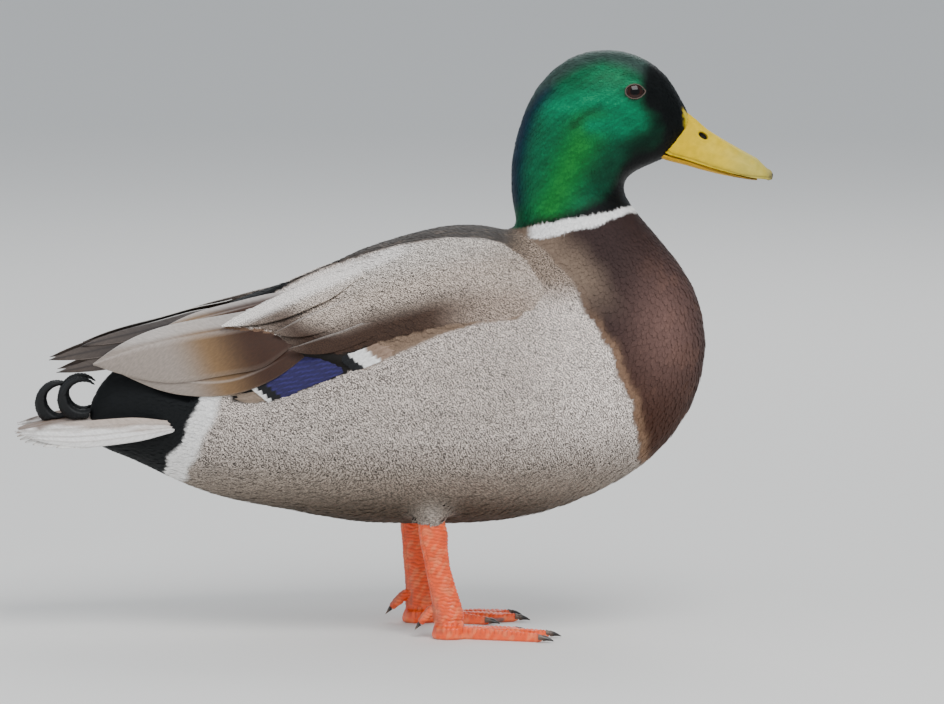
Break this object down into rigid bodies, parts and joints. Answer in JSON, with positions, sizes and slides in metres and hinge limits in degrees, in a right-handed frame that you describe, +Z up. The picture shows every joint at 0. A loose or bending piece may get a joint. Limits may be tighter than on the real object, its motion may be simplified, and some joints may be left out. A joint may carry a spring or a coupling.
{
  "type": "mallard drake",
  "caption": "Standing male mallard duck as a still life-size model: green head, yellow bill, grey body, folded wings, curled tail coverts, orange webbed feet.",
  "frame": {"origin": "on the floor under the middle of the bird, halfway between bill tip and tail tip", "axes": "+X towards the bill, +Y to the bird's left, +Z up"},
  "size_m": [0.4298, 0.1436, 0.3321],
  "materials": {
    "head_feathers": "iridescent green feathers",
    "neck_feathers": "iridescent green feathers above a white collar",
    "body_feathers": "finely vermiculated grey feathers, chestnut on the breast",
    "black_feathers": "glossy black feathers",
    "tail_feathers": "white and grey-brown tail feathers",
    "covert_feathers": "grey-brown vermiculated shoulder feathers",
    "tertial_feathers": "grey-brown long inner wing feathers",
    "speculum_feathers": "violet-blue wing patch with black and white bars",
    "primary_feathers": "dark brown flight feathers",
    "bill": "yellow horn of the bill, satin",
    "nail": "dark horn nail",
    "eye": "wet dark brown eye",
    "leg_skin": "orange scaled skin",
    "claw": "dark horn claws"
  },
  "bodies": {
    "root": {"head": "head_feathers", "neck": "neck_feathers", "trunk": "body_feathers", "rump": "black_feathers", "vent": "black_feathers", "tail": "tail_feathers", "bill_upper": "bill", "bill_lower": "bill", "bill_nail": "nail", "eye_right": "eye", "tail_curl_right_front": "black_feathers", "tail_curl_right_rear": "black_feathers", "wing_right_coverts": "covert_feathers", "wing_right_tertials": "tertial_feathers", "wing_right_secondaries": "speculum_feathers", "wing_right_primaries": "primary_feathers", "thigh_right": "body_feathers", "shank_right": "leg_skin", "foot_right": "leg_skin", "hallux_right": "leg_skin", "claw_outer_right": "claw", "claw_middle_right": "claw", "claw_inner_right": "claw", "claw_hallux_right": "claw", "eye_left": "eye", "tail_curl_left_front": "black_feathers", "tail_curl_left_rear": "black_feathers", "wing_left_coverts": "covert_feathers", "wing_left_tertials": "tertial_feathers", "wing_left_secondaries": "speculum_feathers", "wing_left_primaries": "primary_feathers", "thigh_left": "body_feathers", "shank_left": "leg_skin", "foot_left": "leg_skin", "hallux_left": "leg_skin", "claw_outer_left": "claw", "claw_middle_left": "claw", "claw_inner_left": "claw", "claw_hallux_left": "claw"}
  },
  "joints": []
}
